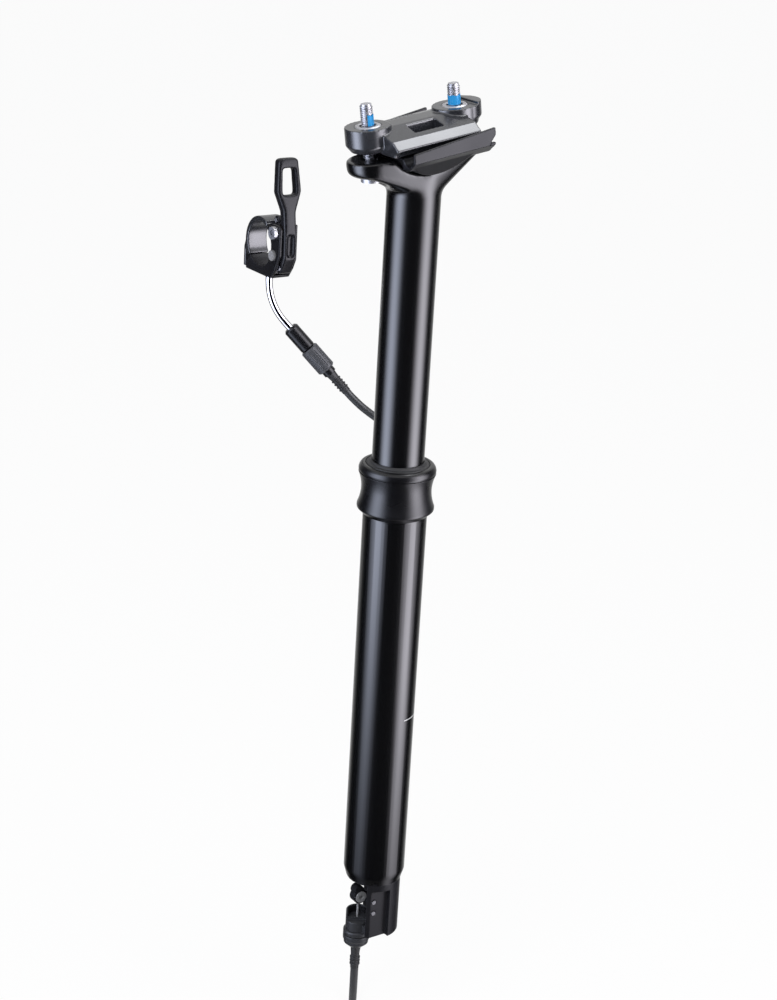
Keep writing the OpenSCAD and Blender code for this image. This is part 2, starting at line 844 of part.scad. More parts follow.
// The lever's upper half leans back over the bar from the hub
module leaned() {
    translate([0, lever_back, lean_z]) rotate([-paddle_lean, 0, 0]) translate([0, -lever_back, -lean_z]) children();
}

module remote_lever() {
    h = pivot_at;
    window = [[-3.7, paddle_wide - 1.5], [-3.2, paddle_top - 5], [3.2, paddle_top - 5], [3.7, paddle_wide - 1.5]];
    color(satin) in_remote() difference() {
        union() {
            at_yz(h) pin_x(lever_hub_r, -lever_half_w, lever_half_w);
            along_x(lever_w) polygon([
                [lever_front, lean_z + 0.7], [lever_back, lean_z + 0.7], [lever_back, h[1] + 4],
                [h[0] + 2, h[1] + 2], [h[0] + 2, h[1] - 2], [tail_back, h[1] - 4.5], [tail_back, -5.5],
                [tail_back + tail_step, -8], [tail_back + tail_step, tail_low], [tail_back - 1.6, tail_low],
                [lever_front, -3]]);
            leaned() {
                along_x(lever_w) polygon([
                    [lever_front, paddle_low + 6], [lever_back, paddle_low + 6], [lever_back, 0], [lever_front, lean_z]]);
                translate([0, lever_back, 0]) rotate([90, 0, 0]) linear_extrude(height = paddle_t) polygon([
                    [-lever_half_w, paddle_low], [-paddle_w / 2, paddle_wide],
                    [-paddle_w / 2 + 1.25, paddle_top - 1.2], [-paddle_w / 2 + 2.6, paddle_top],
                    [paddle_w / 2 - 2.6, paddle_top], [paddle_w / 2 - 1.25, paddle_top - 1.2],
                    [paddle_w / 2, paddle_wide], [lever_half_w, paddle_low]]);
            }
        }
        leaned() translate([0, far, 0]) rotate([90, 0, 0]) linear_extrude(height = 2 * far) polygon(window);
        at_yz(h) pin_x(bush_r + seat_gap, -far, far);
        at_yz(nipple_at) pin_x(nipple_r + seat_gap, -far, far);
        translate([noodle_x, 0, nipple_at[1]]) pin_y(wire_r + 0.25, nipple_at[0], far);
        translate([0, 0, oblong_low]) pin_y(oblong_w / 2, -far, lever_front + 2);
        translate([0, 0, oblong_high]) pin_y(oblong_w / 2, -far, lever_front + 2);
        translate([-oblong_w / 2, -far, oblong_low]) cube([oblong_w, far + lever_front + 2, oblong_high - oblong_low]);
    }
}

module lever_bush() {
    color(brass) in_remote() at_yz(pivot_at) difference() {
        pin_x(bush_r, -lever_half_w, lever_half_w);
        pin_x(pivot_d / 2 + fit_gap, -far, far);
    }
}

module lever_pivot_bolt() {
    head_x = -clamp_w / 2;
    color(silver) in_remote() at_yz(pivot_at) difference() {
        union() {
            pin_x(pivot_d / 2, head_x, clamp_w / 2);
            pin_x(3.15, head_x - 2.2, head_x);
        }
        rotate([0, 90, 0]) translate([0, 0, head_x - 9]) cylinder(d = 2.9, h = 8.2, $fn = 6);
    }
}

module lever_stop_pin() {
    head_x = -clamp_w / 2;
    color(silver) in_remote() at_yz(stop_at) {
        pin_x(stop_r - seat_gap, head_x, clamp_w / 2);
        pin_x(2.6, head_x - 1.2, head_x);
    }
}

module cable_nipple() {
    color(silver) in_remote() {
        at_yz(nipple_at) pin_x(nipple_r, -lever_half_w, 2);
        translate([noodle_x, 0, nipple_at[1]]) pin_y(wire_r, nipple_at[0], noodle_y - guide_r - 0.1);
    }
}

// Noodle: a bent tube from under the bracket, in a plane turned about the post
noodle_bend = 30;
noodle_turn = 43.5;
noodle_tail = 4.3;
noodle_in = 5;
noodle_r = noodle_d / 2;
noodle_bore = 1;

module in_noodle() {
    translate(remote_at + [noodle_x, noodle_y, base_low - noodle_drop]) rotate(-back_turn) children();
}

module at_noodle_end() {
    in_noodle() translate([noodle_bend * (1 - cos(noodle_turn)), 0, -noodle_bend * sin(noodle_turn)])
        rotate([0, 180 - noodle_turn, 0]) children();
}

module in_adjuster() {
    at_noodle_end() translate([0, 0, noodle_tail]) children();
}

// The noodle's line, thickened to radius r, its straight ends a little wider and longer by e
module noodle_line(r, e) {
    in_noodle() {
        pin(r + 0.08, -0.4, noodle_top - base_low + noodle_drop - seat_gap + e);
        translate([noodle_bend, 0, 0]) rotate([90, 0, 0]) rotate(180) rotate_extrude(angle = noodle_turn)
            translate([noodle_bend, 0]) circle(r = r, $fn = 48);
    }
    at_noodle_end() pin(r + 0.08, -0.4, noodle_tail + noodle_in + e);
}

module noodle() {
    color(silver) difference() {
        noodle_line(noodle_r, 0);
        noodle_line(noodle_bore, 1);
    }
}

// Adjuster along its own axis: sleeve with a stem, knob on the stem, collar, ribbed boot
stem_r = 2.4;
knob_gap = 0.3;
knob_z = sleeve_len + knob_gap;
adj_collar_z = knob_z + knob_len + knob_gap;
adj_collar_len = 2.4;
adj_collar_r = 3.3;
adj_boot_z = adj_collar_z + adj_collar_len;
stem_end = adj_boot_z;
knob_flutes = 12;

module adjuster_sleeve() {
    r = sleeve_d / 2;
    color(silver) in_adjuster() difference() {
        union() {
            turned([[0, 0], [r - 0.9, 0], [r, 1], [r, sleeve_len - 0.5], [r - 0.4, sleeve_len], [0, sleeve_len]]);
            pin(stem_r, sleeve_len - 1, stem_end);
        }
        pin(noodle_r + 0.1, -1, noodle_in + seat_gap);
        pin(noodle_bore, -1, far);
    }
}

module adjuster_knob() {
    r = knob_d / 2;
    z1 = knob_z + knob_len;
    color(grey) in_adjuster() difference() {
        turned([[stem_r + free_gap, knob_z], [r - 0.6, knob_z], [r, knob_z + 0.6], [r, z1 - 0.6],
                [r - 0.6, z1], [stem_r + free_gap, z1]]);
        for (i = [0 : knob_flutes - 1]) rotate(i * 360 / knob_flutes)
            translate([r + 0.35, 0, 0]) pin(0.7, knob_z + 2, z1 - 2);
    }
}

module adjuster_collar() {
    color(satin) in_adjuster() pipe(adj_collar_r, stem_r + seat_gap, adj_collar_z, adj_boot_z);
}

adj_ribs = 4;

module adjuster_boot() {
    color(rubber) in_adjuster() translate([0, 0, adj_boot_z]) ribbed_boot(boot_len, adj_ribs);
}

// Cable housing, in a frame turned about the post: across, behind, up
cord_r = cord_d / 2;

function turned_to_row(p) = [p[0] * cos(back_turn) + p[1] * sin(back_turn),
                             -p[0] * sin(back_turn) + p[1] * cos(back_turn), p[2]];
function row_to_turned(p) = [p[0] * cos(back_turn) - p[1] * sin(back_turn),
                             p[0] * sin(back_turn) + p[1] * cos(back_turn), p[2]];

// Where the housing leaves the ferrule, and where it enters the adjuster's boot
noodle_mouth = row_to_turned(remote_at + [noodle_x, noodle_y, base_low - noodle_drop]);
adj_dir = [sin(noodle_turn), 0, -cos(noodle_turn)];
lower_exit = row_to_turned([-cable_offset, 0, ferrule_low]);
upper_exit = noodle_mouth
    + [noodle_bend * (1 - cos(noodle_turn)), 0, -noodle_bend * sin(noodle_turn)]
    + (noodle_tail + adj_boot_z + boot_len) * adj_dir;

// Hank: loops that spiral in on one layer and out on the next, drawn in at the waist
hank_across = 0;
hank_near = 31;
hank_z = -130;
hank_run = 50;
hank_loops = 3;
loop_rings = 24;
side_rings = loop_rings / 4;
hank_rings = hank_loops * loop_rings + side_rings;
hank_mid = hank_rings / 2;
hank_step = cord_d + 0.8;
waist_step = cord_d + 1.4;
fold_half = 12.5;
waist_half = 3.6;
climb_rings = 3;
hank_grow = hank_mid / loop_rings;
hank_behind = hank_near + fold_half + hank_step * hank_grow;

function smooth(t) = t <= 0 ? 0 : t >= 1 ? 1 : t * t * (3 - 2 * t);
function hank_layer(i) = hank_across + hank_step * (smooth((i - hank_mid) / (2 * climb_rings) + 0.5) - 0.5);
function hank_half(i) = fold_half + hank_step * abs(i - hank_mid) / loop_rings;
function hank_waist(i) = waist_half + waist_step * abs(i - hank_mid) / loop_rings;
function hank_side(i, s) = hank_waist(i) + (hank_half(i) - hank_waist(i)) * (1 + cos(360 * s)) / 2;
function hank_point(i) = let(
    j = i % loop_rings, q = floor(j / side_rings), s = (j % side_rings) / side_rings,
    h = hank_half(i), a = 180 * s,
    flat = q == 0 ? [-hank_side(i, s), hank_run * (2 * s - 1)]
         : q == 1 ? [-h * cos(a), hank_run + h * sin(a)]
         : q == 2 ? [hank_side(i, s), hank_run * (1 - 2 * s)]
         : [h * cos(a), -hank_run - h * sin(a)])
    [hank_layer(i), hank_behind + flat[0], hank_z + flat[1]];

hank_in = hank_point(0);
hank_out = hank_point(hank_rings);
hank_path = concat(
    [hank_in - [0, 0, cord_d]],
    [for (i = [0 : hank_rings]) hank_point(i)],
    [hank_out + [0, 0, cord_d]]);

// Free stretches: points chosen by hand, the tube follows a smooth curve through them
down = [0, 0, -1];
turn_z = -262;
turn_r = (hank_in[1] - lower_exit[1]) / 2;
lower_points = concat(
    [lower_exit, lower_exit + cord_d * down, lower_exit + 2 * cord_d * down],
    [for (a = [0 : 22.5 : 180]) [lower_exit[0], lower_exit[1] + turn_r * (1 - cos(a)), turn_z - turn_r * sin(a)]],
    [[-6.1, 31, -256.1], [-3.5, 31, -250.7], [-0.9, 31, -245.3], [0, 31, -239.4], [0, 31, -226], [0, 31, -215],
     [-0.5, 31, -206], [-1.8, 31, -197]],
    [for (k = [3, 2, 1]) hank_in + k * cord_d * down]);
upper_points = concat(
    [hank_out - cord_d * down, hank_out - 2 * cord_d * down, [2.4, 31, -66], [2.4, 31, -60.7], [2.4, 31.3, -55.5],
     [2.3, 32.1, -50.3], [2.1, 33.4, -45.3], [1.9, 35.2, -40.5], [1.6, 37.5, -35.8], [1, 42.1, -27.9],
     [0.4, 46.6, -19.9], [-0.2, 51.1, -11.9], [-0.8, 55.6, -4], [-1.4, 60.1, 4], [-1.9, 64.7, 12],
     [-2.5, 66.3, 15], [-3.5, 67.7, 18], [-5.2, 68.8, 20.9], [-7.3, 69.7, 23.6], [-9.8, 70.2, 26],
     [-12.7, 70.4, 27.9], [-16.4, 70.4, 30.4], [-20.4, 70.4, 33.4]],
    [for (k = [1, 0]) upper_exit + k * cord_d * adj_dir]);
curve_steps = 2;

function mix(a, b, c, d, t) = 0.5 * (2 * b + (c - a) * t + (2 * a - 5 * b + 4 * c - d) * t * t
    + (3 * b - a - 3 * c + d) * t * t * t);
function curve(p) = concat(
    [for (i = [0 : len(p) - 2], k = [0 : curve_steps - 1])
        mix(p[max(i - 1, 0)], p[i], p[i + 1], p[min(i + 2, len(p) - 1)], k / curve_steps)],
    [p[len(p) - 1]]);
function unit(v) = v / norm(v);
function heading(p, i) = unit(p[min(i + 1, len(p) - 1)] - p[max(i - 1, 0)]);
function path_len(p, i = 0) = i >= len(p) - 1 ? 0 : norm(p[i + 1] - p[i]) + path_len(p, i + 1);

// A round tube along a path that stays near the plane of behind and up
module tube(path, sides) {
    n = len(path);
    points = [for (i = [0 : n - 1]) let(t = heading(path, i), u = unit([1, 0, 0] - t[0] * t), v = cross(t, u))
        for (k = [0 : sides - 1]) turned_to_row(
            path[i] + cord_r * (cos(360 * k / sides) * u + sin(360 * k / sides) * v))];
    side = [for (i = [0 : n - 2], k = [0 : sides - 1]) let(
            a = i * sides + k, b = i * sides + (k + 1) % sides)
        each [[a, a + sides, b], [b, a + sides, b + sides]]];
    caps = [for (k = [1 : sides - 2]) each [[0, k, k + 1],
        [(n - 1) * sides, (n - 1) * sides + k + 1, (n - 1) * sides + k]]];
    polyhedron(points = points, faces = concat(side, caps));
}

module housing_lower() {
    color(satin) tube(curve(lower_points), 10);
}

module housing_hank() {
    color(satin) tube(hank_path, 6);
}

module housing_upper() {
    color(satin) tube(curve(upper_points), 10);
}

// The tie round the waist of the hank
tie_gap = 0.35;
tie_t = 1;
tie_w = 9;

module hank_tie() {
    half_b = hank_waist(0) + cord_r + tie_gap;
    half_a = hank_step / 2 + cord_r + tie_gap;
    color(rubber) rotate(-back_turn) translate([hank_across, hank_behind, hank_z]) difference() {
        cube([2 * (half_a + tie_t), 2 * (half_b + tie_t), tie_w], center = true);
        cube([2 * half_a, 2 * half_b, 2 * tie_w], center = true);
    }
}

// Least distance of the hank to itself, from points a good part of a loop apart, and the housing's length
fine = 4;
hank_fine = [for (i = [0 : len(hank_path) - 2], k = [0 : fine - 1])
    hank_path[i] + (hank_path[i + 1] - hank_path[i]) * k / fine];
hank_near_pairs = [for (i = [0 : len(hank_fine) - 1]) min([for (j = [0 : len(hank_fine) - 1])
    abs(i - j) < side_rings * fine ? far : norm(hank_fine[i] - hank_fine[j])])];
echo(hank_gap = min(hank_near_pairs) - cord_d);
echo(housing_length = path_len(curve(lower_points)) + path_len(hank_path) + path_len(curve(upper_points)));

lower_tube();
collar();
collar_ring();
wiper_seal();
upper_bushing();
upper_tube();
lower_bushing();
anti_rotation_keys();
gas_cylinder();
cylinder_cap();
cylinder_plug();
piston_rod();
piston();
piston_ring();
valve_pin();
saddle_cradle();
upper_clamp();
clamp_nuts();
clamp_bolts();
bolt_washers();
foot_body();
release_lever();
release_pivot_pin();
cable_anchor();
anchor_screw();
inner_wire_lower();
cable_stop();
stop_rivets();
ferrule_nut();
ferrule_boot();
remote_bracket();
bar_strap();
strap_hinge_pin();
strap_screw();
remote_lever();
lever_bush();
lever_pivot_bolt();
lever_stop_pin();
cable_nipple();
noodle();
adjuster_sleeve();
adjuster_knob();
adjuster_collar();
adjuster_boot();
housing_lower();
housing_hank();
housing_upper();
hank_tie();
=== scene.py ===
# Looks of a dropper seatpost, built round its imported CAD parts: a gas-sprung post with a two-bolt saddle
# clamp, the cable release in its foot and the bar remote at the other end of the cable. Everything is in the
# part's own frame, in metres; sizes named here are in millimetres and angles in degrees.
import math

import bmesh
import bpy
from mathutils import Matrix, Vector


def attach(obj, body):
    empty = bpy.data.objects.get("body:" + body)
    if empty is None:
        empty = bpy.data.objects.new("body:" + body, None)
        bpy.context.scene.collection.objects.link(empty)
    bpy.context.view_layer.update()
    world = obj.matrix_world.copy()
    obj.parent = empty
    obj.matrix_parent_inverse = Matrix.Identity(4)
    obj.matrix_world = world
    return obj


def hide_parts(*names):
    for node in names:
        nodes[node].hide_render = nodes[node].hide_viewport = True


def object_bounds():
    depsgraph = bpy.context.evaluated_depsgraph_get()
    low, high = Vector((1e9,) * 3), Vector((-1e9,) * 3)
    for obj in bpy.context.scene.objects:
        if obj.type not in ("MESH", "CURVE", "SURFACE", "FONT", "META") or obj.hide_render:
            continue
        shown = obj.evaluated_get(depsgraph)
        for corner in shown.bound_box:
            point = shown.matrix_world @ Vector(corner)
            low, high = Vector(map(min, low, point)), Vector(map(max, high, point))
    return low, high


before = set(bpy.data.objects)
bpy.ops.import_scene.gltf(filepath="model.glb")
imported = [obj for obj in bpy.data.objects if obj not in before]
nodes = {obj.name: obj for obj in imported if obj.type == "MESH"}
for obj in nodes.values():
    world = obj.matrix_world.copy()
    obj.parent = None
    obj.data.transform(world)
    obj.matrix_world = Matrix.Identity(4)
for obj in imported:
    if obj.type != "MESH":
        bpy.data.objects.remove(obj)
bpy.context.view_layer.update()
scene = bpy.context.scene
MM = 0.001

# ---------------------------------------------------------------- camera
# The photograph's own view: a long lens a little above the head, turned 35 degrees to the saddle's left.
# Its place, in metres, and three further angles, in radians, were fitted to the tubes' straight edges.
TURN_ANGLE = 35
TURN = math.radians(TURN_ANGLE)
VIEW_SIDE = -90 - TURN_ANGLE
PITCH, YAW, ROLL = 0.348715, 0.003704264, -0.0584022911
CAMERA_AT = (-0.52755, -0.75342, 0.34375)
WIDTH_PX, HEIGHT_PX, FOCAL_PX, SENSOR = 777, 1000, 2050, 36
cam = bpy.data.objects.new("camera", bpy.data.cameras.new("camera"))
scene.collection.objects.link(cam)
cam.data.sensor_fit = "HORIZONTAL"
cam.data.sensor_width = SENSOR
cam.data.lens = SENSOR * FOCAL_PX / WIDTH_PX
cam.data.clip_start = 0.01
view_axes = (Matrix.Rotation(-TURN, 3, "Z") @ Matrix.Rotation(YAW, 3, "Z")
             @ Matrix.Rotation(-PITCH, 3, "X") @ Matrix.Rotation(ROLL, 3, "Y"))
right, ahead, up = (view_axes.col[i] for i in range(3))
cam_axes = Matrix((right, up, -ahead)).transposed().to_4x4()
cam.matrix_world = Matrix.Translation(CAMERA_AT) @ cam_axes
scene.camera = cam
scene.render.resolution_x, scene.render.resolution_y = WIDTH_PX, HEIGHT_PX
scene.view_settings.view_transform = "Standard"


# ---------------------------------------------------------------- cable housing
# The outer housing is a plastic-coated wire spiral, 4 mm thick. It leaves the ferrule under the foot, turns
# up behind the post, is kept as a tied hank of three loops, and rises to the adjuster of the remote.
def set_sockets(node, **values):
    for key, value in values.items():
        node.inputs[key.replace("_", " ")].default_value = value


def surface(name, colour, roughness, spread=0.06, metallic=0.0, specular=0.5, stretch=(1, 1, 1),
            grain=900, bump=0.03, cloud=40, shade=0.12):
    """A finish with slightly uneven colour and roughness, and a fine grain that catches the light."""
    mat = bpy.data.materials.new(name)
    mat.use_nodes = True
    tree = mat.node_tree
    new, link = tree.nodes.new, tree.links.new
    shader = tree.nodes["Principled BSDF"]
    set_sockets(shader, Metallic=metallic, Specular_IOR_Level=specular)
    coord, mapping = new("ShaderNodeTexCoord"), new("ShaderNodeMapping")
    set_sockets(mapping, Scale=stretch)
    link(coord.outputs["Object"], mapping.inputs["Vector"])
    large, fine = new("ShaderNodeTexNoise"), new("ShaderNodeTexNoise")
    set_sockets(large, Scale=cloud, Detail=4)
    set_sockets(fine, Scale=grain, Detail=3, Roughness=0.6)
    for noise in (large, fine):
        link(mapping.outputs["Vector"], noise.inputs["Vector"])
    tone = new("ShaderNodeMix")
    tone.data_type = "RGBA"
    tone.inputs["A"].default_value = (*(c * (1 - shade) for c in colour), 1)
    tone.inputs["B"].default_value = (*(c * (1 + shade) for c in colour), 1)
    link(large.outputs["Fac"], tone.inputs["Factor"])
    link(tone.outputs["Result"], shader.inputs["Base Color"])
    gloss = new("ShaderNodeMapRange")
    set_sockets(gloss, From_Min=0.3, From_Max=0.7, To_Min=roughness - spread, To_Max=roughness + spread)
    link(large.outputs["Fac"], gloss.inputs["Value"])
    link(gloss.outputs["Result"], shader.inputs["Roughness"])
    relief = new("ShaderNodeBump")
    set_sockets(relief, Strength=bump, Distance=0.00005)
    link(fine.outputs["Fac"], relief.inputs["Height"])
    link(relief.outputs["Normal"], shader.inputs["Normal"])
    return mat


def add(name, data, body, slot, *replaced):
    """A finished piece: it rides on a body and may stand for CAD nodes; its slot is not used."""
    obj = bpy.data.objects.new(name, data)
    scene.collection.objects.link(obj)
    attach(obj, body)
    if replaced:
        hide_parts(*replaced)
    return obj


def row(p):
    """A point across, behind and up as the photograph shows it, in millimetres, to the part's frame."""
    return Vector((p[0] * math.cos(TURN) + p[1] * math.sin(TURN),
                   -p[0] * math.sin(TURN) + p[1] * math.cos(TURN), p[2])) * MM


CORD_D = 4.0
LOWER_EXIT, UPPER_EXIT = (-6.9628, -4.8754, -246.6), (-28.0019, 70.3772, 40.6715)
ADJUSTER_LEAN = math.radians(43.5)
ADJUSTER_WAY = (math.sin(ADJUSTER_LEAN), 0, -math.cos(ADJUSTER_LEAN))
BEND_Z, BEND_STEP = -262, 22.5
HANK_ACROSS, HANK_NEAR, HANK_Z, HANK_RUN = 0, 31, -130, 50
LOOPS, RINGS, CROSSING = 3, 24, 6
SIDE = RINGS // 4
HANK_RINGS = LOOPS * RINGS + SIDE
HANK_MID = HANK_RINGS / 2
STEP, WAIST_STEP, FOLD, WAIST = CORD_D + 0.8, CORD_D + 1.4, 12.5, 3.6
HANK_BEHIND = HANK_NEAR + FOLD + STEP * HANK_MID / RINGS


def hank_point(i):
    """A ring of the hank: loops in two layers, each growing outward from the middle, drawn in at the tie."""
    t = min(max((i - HANK_MID) / CROSSING + 0.5, 0), 1)
    layer = HANK_ACROSS + STEP * (t * t * (3 - 2 * t) - 0.5)
    half = FOLD + STEP * abs(i - HANK_MID) / RINGS
    tied = WAIST + WAIST_STEP * abs(i - HANK_MID) / RINGS
    quarter, s = int(i % RINGS // SIDE), (i % SIDE) / SIDE
    side = tied + (half - tied) * (1 + math.cos(2 * math.pi * s)) / 2
    a = math.pi * s
    flat = ((-side, HANK_RUN * (2 * s - 1)), (-half * math.cos(a), HANK_RUN + half * math.sin(a)),
            (side, HANK_RUN * (1 - 2 * s)), (half * math.cos(a), -HANK_RUN - half * math.sin(a)))[quarter]
    return (layer, HANK_BEHIND + flat[0], HANK_Z + flat[1])


hank = [hank_point(i) for i in range(HANK_RINGS + 1)]
bend_r = (hank[0][1] - LOWER_EXIT[1]) / 2
bend = [math.radians(BEND_STEP * k) for k in range(int(180 / BEND_STEP) + 1)]
lower_run = [(LOWER_EXIT[0], LOWER_EXIT[1], LOWER_EXIT[2] - k * CORD_D) for k in range(3)]
lower_run += [(LOWER_EXIT[0], LOWER_EXIT[1] + bend_r * (1 - math.cos(a)), BEND_Z - bend_r * math.sin(a))
              for a in bend]
lower_run += [(-6.1, 31, -256.1), (-3.5, 31, -250.7), (-0.9, 31, -245.3), (0, 31, -239.4),
              (0, 31, -226), (0, 31, -215), (-0.5, 31, -206), (-1.8, 31, -197)]
lower_run += [(hank[0][0], hank[0][1], hank[0][2] - k * CORD_D) for k in (3, 2, 1)]
upper_run = [(hank[-1][0], hank[-1][1], hank[-1][2] + k * CORD_D) for k in (1, 2)]
upper_run += [(2.4, 31, -66), (2.4, 31, -60.7), (2.4, 31.3, -55.5), (2.3, 32.1, -50.3),
              (2.1, 33.4, -45.3), (1.9, 35.2, -40.5), (1.6, 37.5, -35.8), (1, 42.1, -27.9),
              (0.4, 46.6, -19.9), (-0.2, 51.1, -11.9), (-0.8, 55.6, -4), (-1.4, 60.1, 4),
              (-1.9, 64.7, 12), (-2.5, 66.3, 15), (-3.5, 67.7, 18), (-5.2, 68.8, 20.9),
              (-7.3, 69.7, 23.6), (-9.8, 70.2, 26), (-12.7, 70.4, 27.9), (-16.4, 70.4, 30.4),
              (-20.4, 70.4, 33.4)]
upper_run += [tuple(at + k * CORD_D * way for at, way in zip(UPPER_EXIT, ADJUSTER_WAY)) for k in (1, 0)]
route = [row(p) for p in lower_run + hank + upper_run]


def eased(points, steps=4):
    """A smooth curve through the points, passing each of them."""
    out = []
    last = len(points) - 1
    for i in range(last):
        a, b, c, d = points[max(i - 1, 0)], points[i], points[i + 1], points[min(i + 2, last)]
        for k in range(steps):
            t = k / steps
            out.append(0.5 * (2 * b + (c - a) * t + (2 * a - 5 * b + 4 * c - d) * t * t
                              + (3 * b - a - 3 * c + d) * t ** 3))
    return out + [points[-1]]


housing_line = eased(route)
curve = bpy.data.curves.new("cable_housing", "CURVE")
curve.dimensions = "3D"
curve.bevel_depth = CORD_D / 2 * MM
curve.bevel_resolution = 5
curve.use_fill_caps = True
spline = curve.splines.new("POLY")
spline.points.add(len(housing_line) - 1)
for point, place in zip(spline.points, housing_line):
    point.co = (*place, 1)
spline.use_smooth = True
curve.materials.append(surface("housing_plastic", (0.028, 0.029, 0.031), 0.4, grain=2500, bump=0.06))
housing = add("cable_housing", curve, "base", "housing", "housing_lower", "housing_hank", "housing_upper")


# ---------------------------------------------------------------- hank tie
# A rubber band round the waist of the hank, moulded in one piece, so its edges are soft.
WELD = 0.003
SOFT_ANGLE = 60


def mesh_of(bm, name):
    """The working mesh written out under a name, and freed."""
    mesh = bpy.data.meshes.new(name)
    bm.to_mesh(mesh)
    bm.free()
    return mesh


def merged(node):
    """The CAD node's faces joined up as one mesh, without the CAD's stored normals."""
    bm = bmesh.new()
    bm.from_mesh(nodes[node].data)
    bmesh.ops.remove_doubles(bm, verts=bm.verts, dist=WELD * MM)
    mesh = mesh_of(bm, node + "_merged")
    if "custom_normal" in mesh.attributes:
        mesh.attributes.remove(mesh.attributes["custom_normal"])
    return mesh


def cut(mesh, height, clear=True, closed=False):
    """The mesh cut level at a height; what is below goes, and the cut is closed, when asked."""
    bm = bmesh.new()
    bm.from_mesh(mesh)
    made = bmesh.ops.bisect_plane(bm, geom=bm.verts[:] + bm.edges[:] + bm.faces[:],
                                  plane_co=(0, 0, height * MM), plane_no=(0, 0, -1), clear_outer=clear)
    if closed:
        rim = [e for e in made["geom_cut"] if isinstance(e, bmesh.types.BMEdge)]
        bmesh.ops.holes_fill(bm, edges=rim)
    bm.to_mesh(mesh)
    bm.free()
    return mesh


def shaded(mesh, material, angle=32):
    """The mesh in its finish, smooth apart from edges sharper than the angle."""
    mesh.materials.clear()
    mesh.materials.append(material)
    mesh.shade_smooth()
    mesh.set_sharp_from_angle(angle=math.radians(angle))
    return mesh


def workpiece(mesh):
    work = bpy.data.objects.new("work", mesh)
    scene.collection.objects.link(work)
    return work


def baked(obj):
    """The object's mesh with its modifiers worked in, and the object gone."""
    bpy.context.view_layer.update()
    mesh = bpy.data.meshes.new_from_object(obj.evaluated_get(bpy.context.evaluated_depsgraph_get()))
    bpy.data.objects.remove(obj)
    return mesh


def rounded(mesh, grid, rounds):
    """The mesh with all its edges rounded off, on a grid of that size."""
    work = workpiece(mesh)
    remesh = work.modifiers.new("grid", "REMESH")
    remesh.mode, remesh.voxel_size = "VOXEL", grid * MM
    smooth = work.modifiers.new("round", "SMOOTH")
    smooth.factor, smooth.iterations = 0.5, rounds
    return baked(work)


def thinned(mesh, share):
    """The mesh with that share of its triangles, the rest taken where it is flattest."""
    work = workpiece(mesh)
    work.modifiers.new("fewer", "DECIMATE").ratio = share
    return baked(work)


def moulded(node, body, material, slot, grid, rounds=6, share=0.4):
    """A cast, forged or moulded piece: the CAD node with soft edges."""
    mesh = thinned(rounded(merged(node), grid, rounds), share)
    return add(node + "_part", shaded(mesh, material, SOFT_ANGLE), body, slot, node)


def plain(node, body, material, slot):
    """A machined piece whose CAD shape is right: its faces joined up so that they shade smoothly."""
    return add(node + "_part", shaded(merged(node), material), body, slot, node)


def dress(material, *names):
    """CAD nodes that stay as they are take their finish."""
    for name in names:
        nodes[name].data.materials.clear()
        nodes[name].data.materials.append(material)


rubber = surface("seal_rubber", (0.02, 0.02, 0.021), 0.55, specular=0.4, grain=3200, bump=0.12)
moulded("hank_tie", "base", rubber, "rubber", 0.45, rounds=8)

# ---------------------------------------------------------------- lower tube
# Drawn aluminium tube, black anodised and polished, tapered at its lower end. One plain white line marks how
# far it has to go into the frame. The bushing pressed in its mouth is bronze.
CORNER_SHARE, LEAST = 0.4, 0.01


def turned(profile, segments=96, rounds=0.0):
    """A lathe-turned ring or shaft: a closed profile of radius and height, its corners rounded."""
    points = []
    for i, p in enumerate(profile):
        a, b, c = Vector(profile[i - 1]), Vector(p), Vector(profile[(i + 1) % len(profile)])
        r = min(rounds, CORNER_SHARE * (a - b).length, CORNER_SHARE * (c - b).length)
        if r < LEAST or b.x < LEAST:
            points.append(b)
            continue
        start, end = b + (a - b).normalized() * r, b + (c - b).normalized() * r
        points += [(1 - t) ** 2 * start + 2 * t * (1 - t) * b + t * t * end for t in (0, 0.25, 0.5, 0.75, 1)]
    bm = bmesh.new()
    rings = [[bm.verts.new((p.x * math.cos(a) * MM, p.x * math.sin(a) * MM, p.y * MM))
              for a in (2 * math.pi * k / segments for k in range(segments))] for p in points]
    for i, ring in enumerate(rings):
        other = rings[(i + 1) % len(rings)]
        for k in range(segments):
            bm.faces.new((ring[k], ring[(k + 1) % segments], other[(k + 1) % segments], other[k]))
    bmesh.ops.remove_doubles(bm, verts=bm.verts, dist=1e-7)
    bmesh.ops.recalc_face_normals(bm, faces=bm.faces)
    return mesh_of(bm, "turned")


def ribbon(bm, rows, closed=False):
    """Faces from each row of vertices to the next; closed also joins the two ends of the rows."""
    count = len(rows[0])
    for a, b in zip(rows, rows[1:]):
        for k in range(count if closed else count - 1):
            bm.faces.new((a[k], b[k], b[(k + 1) % count], a[(k + 1) % count]))


LOWER_R, FOOT_Z, END_TAPER, COLLAR_BASE = 15.45, -193, 4.8, 3.4
gloss_black = surface("gloss_anodised", (0.003, 0.003, 0.0036), 0.2, spread=0.03, specular=0.55,
                      stretch=(1, 1, 0.03), grain=1600, bump=0.01, cloud=90)
bronze = surface("bearing_bronze", (0.5, 0.34, 0.14), 0.32, metallic=1.0, grain=2400, bump=0.04)
# Level cuts near both ends keep the long polished faces apart from the shaped ends, for even shading.
lower_tube = merged("lower_tube")
for height in (COLLAR_BASE - 1, FOOT_Z + END_TAPER + 1.5):
    cut(lower_tube, height, clear=False)
add("lower_tube_part", shaded(lower_tube, gloss_black), "base", "black_gloss", "lower_tube")
dress(bronze, "upper_bushing")

